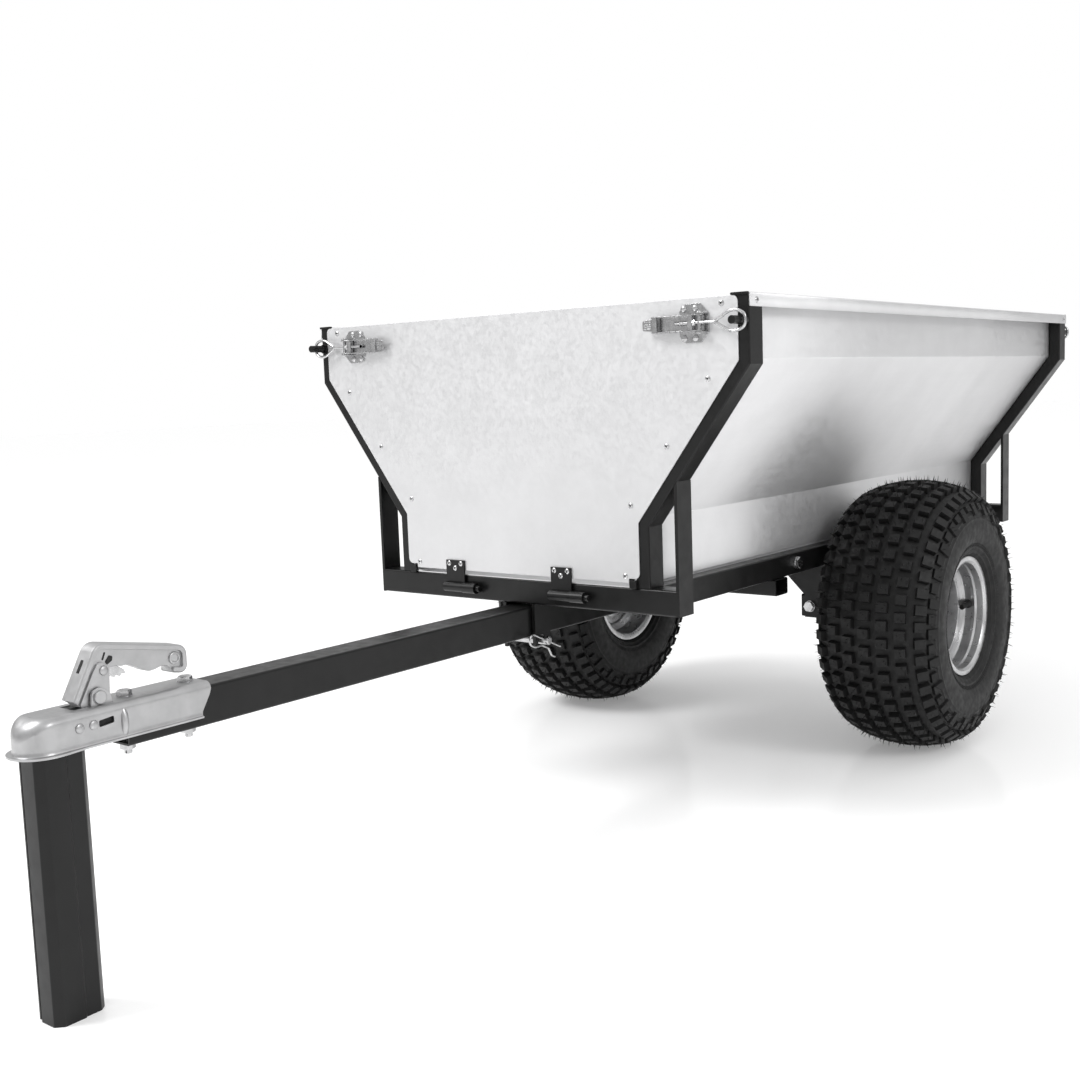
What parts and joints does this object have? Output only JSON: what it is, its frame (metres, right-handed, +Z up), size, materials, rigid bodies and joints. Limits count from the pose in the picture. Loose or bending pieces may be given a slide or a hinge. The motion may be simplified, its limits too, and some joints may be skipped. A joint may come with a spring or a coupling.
{
  "type": "tipping garden trailer",
  "caption": "Tipping garden trailer with a flared sheet-metal tub, drop-down end gates, balloon tyres, a ball coupling and a prop stand.",
  "frame": {"origin": "on the ground, under the middle of the trailer's overall box", "axes": "+Z up, +Y rearwards from the coupling to the tub, +X to the trailer's left"},
  "size_m": [0.992, 2.398, 0.829],
  "materials": {
    "black_powder_coat": "satin black powder coat",
    "galvanised_sheet": "galvanised sheet with a faint spangle",
    "zinc_plate": "bright zinc plate",
    "coupling_zinc": "satin zinc-plated pressing",
    "tyre_rubber": "matt rubber",
    "rim_silver": "silver enamel"
  },
  "bodies": {
    "chassis": {"drawbar": "black_powder_coat", "support_arms": "black_powder_coat", "axle_beam": "black_powder_coat", "axle_gussets": "black_powder_coat", "axle_tubes": "black_powder_coat", "stub_axles": "zinc_plate", "axle_clamp_bolts": "zinc_plate", "castle_nuts": "zinc_plate", "pivot_lugs": "black_powder_coat", "pivot_bolts": "zinc_plate", "tip_pin": "zinc_plate", "coupling_shell": "coupling_zinc", "coupling_bolts": "zinc_plate", "coupling_rivets": "zinc_plate", "handle_pin": "zinc_plate"},
    "tub": {"crossbars": "black_powder_coat", "frame_arms": "black_powder_coat", "corner_posts": "black_powder_coat", "side_rails": "black_powder_coat", "floor_cross_members": "black_powder_coat", "floor_sheet": "galvanised_sheet", "left_side_sheet": "galvanised_sheet", "right_side_sheet": "galvanised_sheet", "tub_rivets": "zinc_plate", "saddle_plates": "black_powder_coat", "latch_keepers": "black_powder_coat", "hinge_pintles": "black_powder_coat", "rail_bolts": "zinc_plate"},
    "front_gate": {"front_gate_panel": "galvanised_sheet", "front_gate_stiffener": "black_powder_coat", "front_gate_hinges": "black_powder_coat", "front_gate_rivets": "zinc_plate", "front_latch_bases": "zinc_plate"},
    "rear_gate": {"rear_gate_panel": "galvanised_sheet", "rear_gate_stiffener": "black_powder_coat", "rear_gate_hinges": "black_powder_coat", "rear_gate_rivets": "zinc_plate", "rear_latch_bases": "zinc_plate"},
    "left_wheel": {"left_tyre": "tyre_rubber", "left_rim": "rim_silver", "left_hub": "zinc_plate", "left_wheel_bolts": "zinc_plate"},
    "right_wheel": {"right_tyre": "tyre_rubber", "right_rim": "rim_silver", "right_hub": "zinc_plate", "right_wheel_bolts": "zinc_plate"},
    "coupling_lever": {"coupling_handle": "coupling_zinc"},
    "safety_catch": {"handle_trigger": "zinc_plate"},
    "ball_jaw": {"coupling_jaw": "zinc_plate"},
    "prop_stand": {"stand_channel": "black_powder_coat", "stand_ball": "zinc_plate"},
    "clip": {"r_clip": "zinc_plate"},
    "front_left_lever": {"front_left_latch_lever": "zinc_plate"},
    "front_left_loop": {"front_left_latch_loop": "zinc_plate"},
    "front_right_lever": {"front_right_latch_lever": "zinc_plate"},
    "front_right_loop": {"front_right_latch_loop": "zinc_plate"},
    "rear_left_lever": {"rear_left_latch_lever": "zinc_plate"},
    "rear_left_loop": {"rear_left_latch_loop": "zinc_plate"},
    "rear_right_lever": {"rear_right_latch_lever": "zinc_plate"},
    "rear_right_loop": {"rear_right_latch_loop": "zinc_plate"}
  },
  "joints": [
    {"name": "tub_tip", "type": "hinge", "parent": "chassis", "child": "tub", "pos_m": [0, 0.488, 0.376], "axis": [-1, 0, 0], "range_deg": [0, 30]},
    {"name": "left_wheel_spin", "type": "hinge", "parent": "chassis", "child": "left_wheel", "pos_m": [0.38, 0.443, 0.254], "axis": [1, 0, 0], "continuous": true},
    {"name": "right_wheel_spin", "type": "hinge", "parent": "chassis", "child": "right_wheel", "pos_m": [-0.38, 0.443, 0.254], "axis": [1, 0, 0], "continuous": true},
    {"name": "front_gate_fold", "type": "hinge", "parent": "tub", "child": "front_gate", "pos_m": [0, -0.308, 0.376], "axis": [1, 0, 0], "range_deg": [0, 90]},
    {"name": "rear_gate_fold", "type": "hinge", "parent": "tub", "child": "rear_gate", "pos_m": [0, 1.172, 0.376], "axis": [-1, 0, 0], "range_deg": [0, 120]},
    {"name": "front_left_lever_swing", "type": "hinge", "parent": "front_gate", "child": "front_left_lever", "pos_m": [0.364, -0.313, 0.79], "axis": [0, 0, 1], "range_deg": [0, 110]},
    {"name": "front_left_loop_swing", "type": "hinge", "parent": "front_left_lever", "child": "front_left_loop", "pos_m": [0.35, -0.313, 0.79], "axis": [0, 0, 1], "range_deg": [-110, 0]},
    {"name": "front_right_lever_swing", "type": "hinge", "parent": "front_gate", "child": "front_right_lever", "pos_m": [-0.364, -0.313, 0.79], "axis": [0, 0, -1], "range_deg": [0, 110]},
    {"name": "front_right_loop_swing", "type": "hinge", "parent": "front_right_lever", "child": "front_right_loop", "pos_m": [-0.35, -0.313, 0.79], "axis": [0, 0, -1], "range_deg": [-110, 0]},
    {"name": "rear_left_lever_swing", "type": "hinge", "parent": "rear_gate", "child": "rear_left_lever", "pos_m": [0.364, 1.177, 0.79], "axis": [0, 0, -1], "range_deg": [0, 110]},
    {"name": "rear_left_loop_swing", "type": "hinge", "parent": "rear_left_lever", "child": "rear_left_loop", "pos_m": [0.35, 1.177, 0.79], "axis": [0, 0, -1], "range_deg": [-110, 0]},
    {"name": "rear_right_lever_swing", "type": "hinge", "parent": "rear_gate", "child": "rear_right_lever", "pos_m": [-0.364, 1.177, 0.79], "axis": [0, 0, 1], "range_deg": [0, 110]},
    {"name": "rear_right_loop_swing", "type": "hinge", "parent": "rear_right_lever", "child": "rear_right_loop", "pos_m": [-0.35, 1.177, 0.79], "axis": [0, 0, 1], "range_deg": [-110, 0]},
    {"name": "handle_lift", "type": "hinge", "parent": "chassis", "child": "coupling_lever", "pos_m": [0, -1.093, 0.367], "axis": [1, 0, 0], "range_deg": [0, 60], "stiffness_Nm_per_rad": 2},
    {"name": "catch_squeeze", "type": "hinge", "parent": "coupling_lever", "child": "safety_catch", "pos_m": [0, -1.083, 0.411], "axis": [1, 0, 0], "range_deg": [0, 12], "stiffness_Nm_per_rad": 0.3},
    {"name": "jaw_slide", "type": "slide", "parent": "chassis", "child": "ball_jaw", "axis": [0, 1, 0], "range_m": [0, 0.008]},
    {"name": "stand_swivel", "type": "hinge", "parent": "chassis", "child": "prop_stand", "pos_m": [0, -1.161, 0], "axis": [0, 0, 1], "range_deg": [-90, 90]},
    {"name": "clip_slide", "type": "slide", "parent": "chassis", "child": "clip", "axis": [0, -0.9135, 0.4067], "range_m": [0, 0.06]}
  ],
  "couplings": [
    {"joint": "front_left_loop_swing", "follows": "front_left_lever_swing", "ratio": -1},
    {"joint": "front_right_loop_swing", "follows": "front_right_lever_swing", "ratio": -1},
    {"joint": "rear_left_loop_swing", "follows": "rear_left_lever_swing", "ratio": -1},
    {"joint": "rear_right_loop_swing", "follows": "rear_right_lever_swing", "ratio": -1},
    {"joint": "jaw_slide", "follows": "handle_lift", "m_per_rad": 0.0076}
  ]
}
